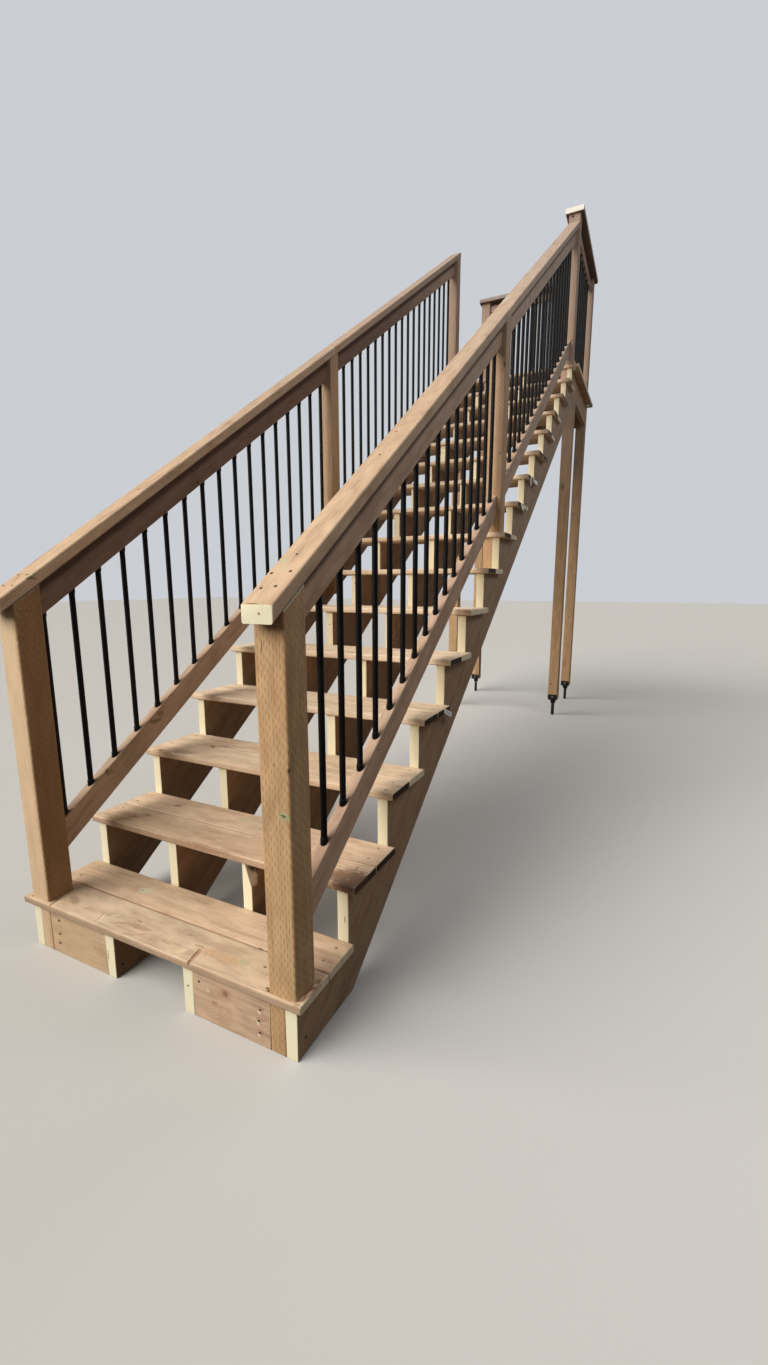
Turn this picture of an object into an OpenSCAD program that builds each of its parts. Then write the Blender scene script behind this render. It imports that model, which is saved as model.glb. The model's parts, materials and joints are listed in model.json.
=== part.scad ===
/* [Steps] */
// Height of one step
riser = 190.5; // [170:0.5:200]
// Height from the ground to the top of the first tread
first_rise_h = 180; // [150:1:200]
// Level distance from one riser face to the next
tread_pitch = 270; // [240:1:320]
// How far the front edge of a tread stands out past the riser face under it
nosing = 12; // [8:1:30]
// Width of the flight over its outer stringers
flight_w = 1106; // [900:1:1300]
// Distance from a side of the flight to the near face of the inner stringer
inner_stringer_in = 366; // [250:1:400]
// Overhang of the treads and the deck past the outer stringers
side_overhang = 25.5; // [0:0.5:60]

/* [Lumber] */
// Thickness of the stringers, rims, rails and caps
board_t = 38; // [32:1:45]
// Thickness of the tread and deck boards
tread_t = 25.4; // [22:0.2:40]
// Gap between the two boards of a tread, and the least gap in the deck
tread_gap = 2; // [1:0.5:12]
// Rounding of the tread and deck board edges
tread_r = 7; // [2:1:11]
// Depth of the stringer boards before they are notched
stringer_d = 296; // [270:1:310]
// Side of the square posts
post_w = 89; // [70:1:100]
// Rounding of the post corners
post_r = 6; // [2:1:12]
// Depth of the rails that stand on edge
rail_d = 89; // [60:1:110]
// Rounding of the rail edges
rail_r = 3; // [1:1:8]
// Width of the flat caps along the flight
cap_w = 89; // [60:1:140]
// Rounding of the cap edges
cap_r = 6; // [2:1:10]

/* [Stair railing] */
// Upright height from the line of the nosings to the top of the cap
rail_h = 1040; // [900:1:1100]
// Upright gap between the line of the nosings and the bottom rail
rail_gap = 69; // [40:1:100]
// How far the lower ends of the caps run out past the bottom posts
cap_run_out = 39; // [0:1:100]
// Open joint between the two lengths of a cap
cap_joint = 2; // [1:0.5:5]
// Diameter of the round balusters
baluster_d = 19; // [12:0.5:25]
// Distance between baluster centres
baluster_pitch = 108; // [90:0.5:120]
// Distance from a post to the middle of the first baluster, on the right and in the guard
baluster_first = 19; // [16:1:60]
// The same distance in the left railing
baluster_first_left = 26; // [16:1:60]
// Diameter of the collars that hold the balusters on the rails
collar_d = 23; // [20:0.5:30]
// Height of the collars above the rail
collar_h = 14; // [6:1:30]

/* [Landing] */
// Length of the landing from the top riser face to its back
landing_l = 1145; // [900:1:1400]
// Distance from the top riser face to the front of the landing frame
frame_in = 225; // [150:1:300]
// Depth of the rim boards and joists
rim_d = 184; // [140:1:200]
// Height from the landing deck to the top of the guard caps
guard_h = 1150; // [950:1:1200]
// Gap between the deck and the bottom rails of the guard
guard_gap = 53; // [30:1:100]
// Width of the flat guard caps
guard_cap_w = 140; // [89:1:150]
// How far the guard caps run out past the posts at their free ends
guard_cap_out = 18; // [0:1:40]

/* [Post bases] */
// Height above the ground to the top edge of the saddles
base_h = 205; // [150:1:300]
// Height of the flanges that hold a post
saddle_h = 48; // [30:1:60]
// Thickness of the steel of a saddle
saddle_t = 5; // [4:0.5:10]
// Width of the flanges
saddle_w = 82; // [60:1:89]
// Distance across the flats of the levelling nut
nut_w = 42; // [36:1:60]
// Height of the levelling nut
nut_h = 33; // [20:1:40]
// Diameter of the screw stem
stem_d = 28; // [20:1:35]

/* [Hidden] */
STRINGER_NAMES = [
    "stringer_outer_left", "stringer_inner_left",
    "stringer_inner_right", "stringer_outer_right"
];
TREAD_NAMES = [
    "tread_01", "tread_02", "tread_03", "tread_04", "tread_05",
    "tread_06", "tread_07", "tread_08", "tread_09", "tread_10",
    "tread_11", "tread_12", "tread_13", "tread_14", "tread_15"
];

SIDES = ["left", "right"];
tread_count = len(TREAD_NAMES);
middle_step = 7;
curve_n = 24;
hexagon = 6;
past = 1;
sunlit_wood = "#c9a27c";
brown_wood = "#8d6a4f";
grey_wood = "#9a8068";
pale_wood = "#e2cfa6";
black_metal = "#1c1c1e";

slope = riser / tread_pitch;
pitch = atan(slope);
upright = 1 / cos(pitch);
half_w = flight_w / 2;
tread_w = (tread_pitch + nosing - tread_gap) / 2;
tread_l = flight_w + 2 * side_overhang;
inner_x = half_w - inner_stringer_in - board_t;
post_x = half_w - post_w / 2;

// Height of the top of tread k, where one more than the last is the landing
function level(k) = first_rise_h + (k - 1) * riser;
// Height of the seat that carries tread k
function seat(k) = level(k) - tread_t;
// The lines below are heights at a distance y up the flight from the first riser
function stringer_low(y) = seat(1) + slope * y - stringer_d * upright;
function nosing_line(y) = level(1) + slope * (y + nosing);
function cap_top(y) = nosing_line(y) + rail_h;
function cap_low(y) = cap_top(y) - board_t * upright;
function sub_rail_low(y) = cap_low(y) - rail_d * upright;
function bottom_rail_low(y) = nosing_line(y) + rail_gap;
function bottom_rail_top(y) = bottom_rail_low(y) + rail_d * upright;

middle_y = middle_step * tread_pitch;
top_y = tread_count * tread_pitch;
frame_y = top_y + frame_in;
back_y = top_y + landing_l;
back_post_y = back_y - post_w;
rail_bays = [[post_w, middle_y], [middle_y + post_w, top_y]];

deck_z = level(tread_count + 1);
frame_z = deck_z - tread_t;
rim_low = frame_z - rim_d;
deck_depth = landing_l + 2 * nosing;
deck_count = floor((deck_depth + tread_gap) / (tread_w + tread_gap));
deck_pitch = (deck_depth - tread_w) / (deck_count - 1);

guard_cap_low = deck_z + guard_h - board_t;
guard_sub_low = guard_cap_low - rail_d;
guard_rail_low = deck_z + guard_gap;
guard_rail_top = guard_rail_low + rail_d;
guard_side_l = back_post_y - top_y - post_w;
guard_back_l = flight_w - 2 * post_w;
guard_back_y = back_y - post_w / 2;

post_foot_z = base_h - saddle_h;
nut_z = post_foot_z - saddle_t - nut_h;

slope_l = (back_y + cap_run_out) * upright;
back_end = max(back_y + nosing, guard_back_y + guard_cap_w / 2);
origin_y = (back_end - cap_run_out) / 2;

// Outline of a board with eased corners
module eased(w, h, r) {
    translate([r, 0]) square([w - 2 * r, h]);
    translate([0, r]) square([w, h - 2 * r]);
    for (x = [r, w - r], y = [r, h - r])
        translate([x, y]) circle(r = r, $fn = curve_n);
}

// Turns an outline drawn in Y and Z into a piece of length l along +X
module along_x(l) {
    rotate([90, 0, 90]) linear_extrude(l) children();
}

// Plain block between two corners
module block(a, b) {
    translate(a) cube(b - a);
}

// Draws a piece on both sides of the flight
module both_sides() {
    children();
    mirror([1, 0, 0]) children();
}

// Sets a piece of the right side on its own side, in the frame of the whole stair
module placed(side = "right") {
    translate([0, -origin_y, 0])
        if (side == "left") mirror([1, 0, 0]) children();
        else children();
}

// Notched board of a flight: plumb and level cuts above, a level foot and a plumb head
module stringer(x) {
    foot_y = (stringer_d * upright - seat(1)) / slope;
    notches = [for (k = [1 : tread_count]) each [
        [(k - 1) * tread_pitch, seat(k)],
        [k * tread_pitch, seat(k)]
    ]];
    head = [
        [top_y, frame_z],
        [frame_y, frame_z],
        [frame_y, stringer_low(frame_y)]
    ];
    color(brown_wood) translate([x, 0, 0]) along_x(board_t)
        polygon(concat([[0, 0]], notches, head, [[foot_y, 0]]));
}

stringer_x = [-half_w, -inner_x - board_t, inner_x, half_w - board_t];

// Room for the two posts whose front faces are at y
module post_holes(y) {
    both_sides() block([half_w - post_w, y, 0], [half_w, y + post_w, 2 * deck_z]);
}

module board_across(y, z) {
    translate([-tread_l / 2, y, z]) along_x(tread_l) eased(tread_w, tread_t, tread_r);
}

// Two boards that fill a step from the nosing to the riser face behind
module tread(k) {
    front_y = (k - 1) * tread_pitch - nosing;
    color(sunlit_wood) difference() {
        for (y = [front_y, front_y + tread_w + tread_gap]) board_across(y, seat(k));
        if (k == 1) post_holes(0);
        if (k == middle_step + 1) post_holes(middle_y);
    }
}

// Boards on edge that close the front between the bottom posts and the inner stringers
module bottom_blocks() {
    color(sunlit_wood) both_sides()
        block([inner_x + board_t, 0, 0], [half_w - post_w, board_t, seat(1)]);
}

// Post of the right side, halved over the outer stringer below its shoulder
module halved_post(y, z0, shoulder, z1) {
    difference() {
        translate([half_w - post_w, y, z0]) linear_extrude(z1 - z0) eased(post_w, post_w, post_r);
        block([half_w - board_t, y - past, z0 - past], [half_w + past, y + post_w + past, shoulder]);
    }
}

// Post of a stair railing, cut to the slope of the cap that lies on it
module stair_post(step) {
    y = step * tread_pitch;
    z0 = step == 0 ? 0 : stringer_low(y + post_w);
    z1 = cap_top(y + post_w);
    color(sunlit_wood) difference() {
        halved_post(y, z0, seat(step + 1), z1);
        along_x(half_w + past) polygon([
            [y - past, cap_low(y - past)],
            [y + post_w + past, cap_low(y + post_w + past)],
            [y + post_w + past, z1 + past],
            [y - past, z1 + past]
        ]);
    }
}

// The right top post also carries the guard, so it is taller than the left one
module top_post(side) {
    if (side == "left") stair_post(tread_count);
    else color(grey_wood)
        halved_post(top_y, stringer_low(top_y + post_w), frame_z, guard_cap_low);
}

// Corner posts, halved over the side rims and the back rim
module back_posts() {
    color(grey_wood) both_sides() difference() {
        halved_post(back_post_y, rim_low, frame_z, guard_cap_low);
        block([0, back_y - board_t, rim_low - past], [half_w, back_y + past, frame_z]);
    }
}

// Board along the slope between two plumb cuts, with its underside at height low where y = 0
module sloping_board(w, d, r, low, y0, y1) {
    intersection() {
        translate([post_x - w / 2, 0, low]) rotate([90 + pitch, 0, 0])
            translate([0, 0, -slope_l]) linear_extrude(2 * slope_l) eased(w, d, r);
        block([0, y0, 0], [flight_w, y1, 2 * deck_z]);
    }
}

// The flat cap in two lengths that meet over the middle post
module stair_cap(side) {
    joint_y = middle_y + post_w / 2;
    end_y = side == "left" ? top_y + post_w : top_y;
    color(sunlit_wood) {
        sloping_board(cap_w, board_t, cap_r, cap_low(0), -cap_run_out, joint_y - cap_joint / 2);
        sloping_board(cap_w, board_t, cap_r, cap_low(0), joint_y + cap_joint / 2, end_y);
    }
}

// A rail on edge in both bays of a railing
module stair_rail(low) {
    color(brown_wood)
        for (bay = rail_bays) sloping_board(board_t, rail_d, rail_r, low, bay[0], bay[1]);
}

// Round rod between two heights
module upright_rod(d, z0, z1) {
    translate([0, 0, z0]) cylinder(h = z1 - z0, d = d, $fn = curve_n);
}

// Balusters along +X in a bay of length l, from height low(x) to high(x), with a collar at each end.
// The amount over makes them longer at both ends, for rails that cut them to a slope.
module baluster_row(l, low, high, first = baluster_first, over = 0) {
    color(black_metal)
        for (x = [first : baluster_pitch : l - baluster_d]) translate([x, 0, 0]) {
            upright_rod(baluster_d, low(x) - over, high(x) + over);
            upright_rod(collar_d, low(x) - over, low(x) + collar_h);
            upright_rod(collar_d, high(x) - collar_h, high(x) + over);
        }
}

module stair_balusters(first) {
    intersection() {
        for (bay = rail_bays)
            translate([post_x, bay[0], 0]) rotate([0, 0, 90]) baluster_row(
                bay[1] - bay[0],
                function(x) bottom_rail_top(bay[0] + x),
                function(x) sub_rail_low(bay[0] + x),
                first, collar_d
            );
        translate([post_x - post_w, 0, 0]) along_x(2 * post_w) polygon([
            [0, bottom_rail_top(0)],
            [top_y, bottom_rail_top(top_y)],
            [top_y, sub_rail_low(top_y)],
            [0, sub_rail_low(0)]
        ]);
    }
}

// Board on edge across the landing, between the side rims
module rim_across(y) {
    color(brown_wood)
        block([board_t - half_w, y, rim_low], [half_w - board_t, y + board_t, frame_z]);
}

module landing_side_rims() {
    color(brown_wood) both_sides()
        block([half_w - board_t, frame_y, rim_low], [half_w, back_y, frame_z]);
}

// Joists in line with the inner stringers
module landing_joists() {
    color(brown_wood) both_sides()
        block([inner_x, frame_y + board_t, rim_low], [inner_x + board_t, back_y - board_t, frame_z]);
}

module landing_deck() {
    color(grey_wood) difference() {
        for (i = [0 : deck_count - 1]) board_across(top_y - nosing + i * deck_pitch, frame_z);
        post_holes(top_y);
        post_holes(back_post_y);
    }
}

// Draws a piece under each corner of the landing frame, from the middle of the post there
module at_support_posts() {
    both_sides()
        for (y = [frame_y, back_post_y])
            translate([post_x, y + post_w / 2, 0]) children();
}

module support_posts() {
    color(brown_wood) at_support_posts()
        translate([-post_w / 2, -post_w / 2, post_foot_z])
            linear_extrude(rim_low - post_foot_z) eased(post_w, post_w, post_r);
}

// Saddle with a flange before and behind the post, on a levelling nut and a screw stem
module post_bases() {
    saddle_l = post_w + 2 * saddle_t;
    color(black_metal) at_support_posts() {
        translate([-saddle_w / 2, -saddle_l / 2, post_foot_z - saddle_t])
            cube([saddle_w, saddle_l, saddle_t]);
        for (y = [-saddle_l / 2, post_w / 2])
            translate([-saddle_w / 2, y, post_foot_z]) cube([saddle_w, saddle_t, saddle_h]);
        translate([0, 0, nut_z]) cylinder(h = nut_h, d = nut_w / cos(180 / hexagon), $fn = hexagon);
        cylinder(h = nut_z, d = stem_d, $fn = curve_n);
    }
}

// Draws a row that starts at a post of the guard, on the right side and at the back
module guard_rows() {
    translate([post_x, top_y + post_w, 0]) rotate([0, 0, 90]) children(0);
    translate([post_w - half_w, guard_back_y, 0]) children(1);
}

module guard_rail(l, z) {
    color(brown_wood) translate([0, -board_t / 2, z]) along_x(l) eased(board_t, rail_d, rail_r);
}

module guard_rails(z) {
    guard_rows() {
        guard_rail(guard_side_l, z);
        guard_rail(guard_back_l, z);
    }
}

module guard_balusters() {
    guard_rows() {
        baluster_row(guard_side_l, function(x) guard_rail_top, function(x) guard_sub_low);
        baluster_row(guard_back_l, function(x) guard_rail_top, function(x) guard_sub_low);
    }
}

// Flat cap along the right side, out to the back of the other cap
module guard_cap_side() {
    l = guard_back_y + guard_cap_w / 2 - top_y + guard_cap_out;
    color(pale_wood) translate([post_x + guard_cap_w / 2, top_y - guard_cap_out, guard_cap_low])
        rotate([0, 0, 90]) along_x(l) eased(guard_cap_w, board_t, cap_r);
}

// Flat cap across the back, butted against the other cap
module guard_cap_back() {
    l = post_x - guard_cap_w / 2 + half_w + guard_cap_out;
    color(grey_wood) translate([-half_w - guard_cap_out, guard_back_y - guard_cap_w / 2, guard_cap_low])
        along_x(l) eased(guard_cap_w, board_t, cap_r);
}

for (i = [0 : len(STRINGER_NAMES) - 1])
    placed() stringer(stringer_x[i]);
for (k = [1 : tread_count])
    placed() tread(k);
placed() bottom_blocks();
placed() both_sides() stair_post(0);  // bottom_posts
placed() both_sides() stair_post(middle_step);  // middle_posts
placed() back_posts();
for (side = SIDES) {
    placed(side) top_post(side);
    placed(side) stair_cap(side);
    placed(side) stair_rail(sub_rail_low(0));
    placed(side) stair_rail(bottom_rail_low(0));
    placed(side) stair_balusters(side == "left" ? baluster_first_left : baluster_first);
}
placed() rim_across(frame_y);  // landing_front_rim
placed() rim_across(back_y - board_t);  // landing_back_rim
placed() landing_side_rims();
placed() landing_joists();
placed() landing_deck();
placed() support_posts();
placed() post_bases();
placed() guard_cap_side();
placed() guard_cap_back();
placed() guard_rails(guard_sub_low);  // guard_sub_rails
placed() guard_rails(guard_rail_low);  // guard_bottom_rails
placed() guard_balusters();
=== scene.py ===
import json
import math
import random
import bpy
from mathutils import Matrix, Vector

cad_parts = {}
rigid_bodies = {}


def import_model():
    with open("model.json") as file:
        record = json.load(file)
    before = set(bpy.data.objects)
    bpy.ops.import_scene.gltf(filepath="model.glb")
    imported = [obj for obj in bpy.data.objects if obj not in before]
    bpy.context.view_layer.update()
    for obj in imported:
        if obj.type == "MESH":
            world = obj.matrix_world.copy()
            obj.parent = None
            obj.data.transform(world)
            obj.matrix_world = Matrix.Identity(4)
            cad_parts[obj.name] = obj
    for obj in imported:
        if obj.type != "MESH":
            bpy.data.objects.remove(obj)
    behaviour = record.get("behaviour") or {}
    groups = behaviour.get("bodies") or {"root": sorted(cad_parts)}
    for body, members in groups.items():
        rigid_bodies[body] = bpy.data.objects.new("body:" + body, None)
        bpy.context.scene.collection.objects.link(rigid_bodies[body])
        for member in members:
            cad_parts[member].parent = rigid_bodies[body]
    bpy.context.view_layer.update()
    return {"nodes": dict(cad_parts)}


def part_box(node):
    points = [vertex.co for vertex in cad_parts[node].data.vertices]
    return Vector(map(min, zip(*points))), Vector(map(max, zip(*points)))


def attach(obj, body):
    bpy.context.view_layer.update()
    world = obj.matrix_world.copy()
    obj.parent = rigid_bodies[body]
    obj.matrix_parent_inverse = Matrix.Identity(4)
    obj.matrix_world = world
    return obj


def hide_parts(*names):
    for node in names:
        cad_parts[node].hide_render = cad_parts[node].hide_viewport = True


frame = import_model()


def placed(name, data):
    """A new object of the scene."""
    made = bpy.data.objects.new(name, data)
    bpy.context.scene.collection.objects.link(made)
    return made


# Viewpoint of the picture: a phone held at chest height, off the right front corner of the flight.
# The whole picture, 768 by 1365 pixels, lies inside the frame, so there is no shift.
picture_h = 1365
focal_px = 538.8
sensor = 36.0
camera_data = bpy.data.cameras.new("Camera")
camera_data.sensor_width = sensor
camera_data.lens = focal_px * sensor / picture_h
camera_data.clip_start = 0.05
camera_data.clip_end = 100.0
camera = placed("Camera", camera_data)
camera.location = (1.2953, -3.5868, 1.2415)
camera.rotation_euler = (1.39203, 0.00074, 0.45687)
bpy.context.scene.camera = camera


# Studio round the stair: a pale matt floor, a pale sky, two wide lamps and a cool panel on the right.
# The main lamp stands high in front and to the left, so fronts and tops are lit and right sides lie
# in shade. Floor and sky are seen brighter than they shine back, as the far walls of a studio are.
def fed(node, sockets):
    """Fills sockets of a shader node, with a link for a reading and as it is for a plain value."""
    for name, value in sockets.items():
        if isinstance(value, Reading):
            value.tree.links.new(value.socket, node.inputs[name])
        else:
            node.inputs[name].default_value = value


class Reading:
    """A value read off a surface. Sums on it add Math nodes to the finish that it belongs to."""

    def __init__(self, tree, socket=None):
        self.tree = tree
        self.socket = socket

    def node(self, kind, settings=None, sockets=None, out=0):
        """Adds a node, sets it up, fills its sockets and reads one of its outputs."""
        made = self.tree.nodes.new("ShaderNode" + kind)
        for name, value in (settings or {}).items():
            setattr(made, name, value)
        fed(made, sockets or {})
        return Reading(self.tree, made.outputs[out])

    def maths(self, operation, first, second=0.0):
        return self.node("Math", {"operation": operation}, {0: first, 1: second})

    def __add__(self, other):
        return self.maths("ADD", self, other)

    def __sub__(self, other):
        return self.maths("SUBTRACT", self, other)

    def __rsub__(self, other):
        return self.maths("SUBTRACT", other, self)

    def __mul__(self, other):
        return self.maths("MULTIPLY", self, other)

    def __truediv__(self, other):
        return self.maths("DIVIDE", self, other)

    def __rtruediv__(self, other):
        return self.maths("DIVIDE", other, self)

    def __abs__(self):
        return self.maths("ABSOLUTE", self)

    __radd__ = __add__
    __rmul__ = __mul__

    def along(self, axis):
        """One part of a place or colour."""
        return self.node("SeparateXYZ", {}, {0: self}, axis)

    def vectors(self, operation, other=(0.0, 0.0, 0.0), out="Vector"):
        """Vector maths on this place or colour and another."""
        return self.node("VectorMath", {"operation": operation}, {0: self, 1: other}, out)

    def stretched(self, scale):
        """The place, scaled by its own amount along each axis."""
        return self.vectors("MULTIPLY", scale)

    def rises(self, low, high):
        """0 below low, 1 above high and smooth between them."""
        return self.node("MapRange", {"interpolation_type": "SMOOTHSTEP"},
                         {"Value": self, "From Min": low, "From Max": high})

    def between(self, off, on):
        """The colour off where this reading is 0, and on where it is 1."""
        off, on = (colour if isinstance(colour, Reading) else (*colour, 1) for colour in (off, on))
        return self.node("Mix", {"data_type": "RGBA"}, {0: self, 6: off, 7: on}, 2)

    def noise(self, scale, detail=2.0):
        """Soft noise from 0 to 1, with its own scale along each axis."""
        return self.node("TexNoise", {}, {"Vector": self.stretched(scale), "Scale": 1.0, "Detail": detail})

    def as_bump(self, height, strength):
        """The slant of a surface that this reading lifts by up to a height in metres."""
        return self.node("Bump", {}, {"Height": self, "Distance": height, "Strength": strength}, "Normal")


def finish_of(name):
    """A new material, the place on its piece as a reading, and its Principled shader."""
    material = bpy.data.materials.new(name)
    material.use_nodes = True
    spot = Reading(material.node_tree).node("TexCoord", out="Object")
    return material, spot, material.node_tree.nodes["Principled BSDF"]


def speckled(name, scale, light, dark, roughness, metallic=0.0, detail=2.0):
    """A worn finish that goes softly from its light to its dark colour."""
    finish, spot, shader = finish_of(name)
    wear = spot.noise(scale, detail)
    fed(shader, {"Base Color": wear.between(light, dark), "Roughness": roughness + wear * 0.2,
                 "Metallic": metallic})
    return finish


def started(primitive, **how):
    """A new piece from a primitive, with nothing else selected and its place and size in its mesh."""
    bpy.ops.object.select_all(action="DESELECT")
    primitive(**how)
    bpy.ops.object.transform_apply(location=True, rotation=True, scale=True)
    return bpy.context.object


def joined(pieces):
    """The first of the pieces, with the others joined to it."""
    bpy.ops.object.select_all(action="DESELECT")
    for piece in pieces:
        piece.select_set(True)
    bpy.context.view_layer.objects.active = pieces[0]
    bpy.ops.object.join()
    return pieces[0]


floor_size = 80.0
floor_shines = (0.130, 0.110, 0.090)
floor_seen = (0.60, 0.60, 0.59)
floor = started(bpy.ops.mesh.primitive_plane_add, size=floor_size)
floor.name = "studio_floor"
floor_paint, floor_spot, floor_shader = finish_of("studio_floor")
floor_ray = floor_spot.node("LightPath", out="Is Camera Ray")
fed(floor_shader, {"Base Color": floor_ray.between(floor_shines, floor_seen), "Roughness": 0.95,
                   "Specular IOR Level": 0.1})
floor.data.materials.append(floor_paint)

sky_light = 0.075
sky_seen = 0.66
sky = bpy.data.worlds.new("studio_sky")
sky.use_nodes = True
sky_shader = sky.node_tree.nodes["Background"]
sky_ray = Reading(sky.node_tree).node("LightPath", out="Is Camera Ray")
fed(sky_shader, {"Color": sky_ray.between((1.0, 0.90, 0.78), (0.90, 0.94, 1.0)),
                 "Strength": sky_ray * (sky_seen - sky_light) + sky_light})
bpy.context.scene.world = sky
bpy.context.scene.view_settings.view_transform = "Standard"

lamp_spread = math.radians(58)
for name, stands, energy, colour in (("main_lamp", (-0.46, -0.62, 0.64), 3.85, (1.0, 0.95, 0.88)),
                                     ("back_lamp", (0.05, 0.90, 0.42), 0.8, (0.94, 0.97, 1.0))):
    lamp_data = bpy.data.lights.new(name, "SUN")
    lamp_data.angle = lamp_spread
    lamp_data.energy = energy
    lamp_data.color = colour
    lamp = placed(name, lamp_data)
    lamp.rotation_euler = Vector(stands).to_track_quat("Z", "Y").to_euler()

panel_data = bpy.data.lights.new("side_panel", "AREA")
panel_data.shape = "DISK"
panel_data.size = 2.5
panel_data.energy = 56.0
panel_data.color = (0.90, 0.94, 1.0)
panel = placed("side_panel", panel_data)
panel.location = (4.0, -1.4, 5.1)
panel.rotation_euler = (panel.location - Vector((0.5, 0.6, 2.8))).to_track_quat("Z", "Y").to_euler()
panel.visible_camera = False


# Stringers: four boards of brown treated lumber, 38 mm thick and 296 mm deep, set along the pitch.
# Their steps are sawn out on site, so the plumb and level cuts show the pale wood inside.
fresh_sawn = (0.96, 0.92, 0.69)
fresh_ring = (0.80, 0.68, 0.43)
treated_rim = (0.42, 0.27, 0.14)
# Painted shade that the saw cuts take higher up the flight.
painted_cut_shade = (0.72, 0.53, 0.31)
mill_end = (0.016, 0.007, 0.004)
red_stain = (0.33, 0.16, 0.085)
green_stain = (0.34, 0.35, 0.20)
dark_stain = (0.13, 0.065, 0.036)
knot_halo = (0.34, 0.17, 0.080)
knot_heart = (0.17, 0.085, 0.045)
knot_bark = (0.060, 0.032, 0.020)
paler_above_colour = (0.98, 0.82, 0.62)
# Grey of the top of the stair, partly weathering and partly painted cool shade.
high_wear_and_shade_grey = (0.35, 0.285, 0.25)
grey_film = (0.33, 0.29, 0.24)
# Dark long edges of the low boards, partly grime and partly painted shade in the seams.
edge_grime_and_shade_colour = (0.20, 0.10, 0.055)
# Painted shadow that a cap casts on the rail under it.
painted_cap_shadow = (0.040, 0.022, 0.017)
# Painted shade under a flat board.
painted_underside_shade = (0.075, 0.045, 0.036)
slit_brown = (0.42, 0.195, 0.095)


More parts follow.
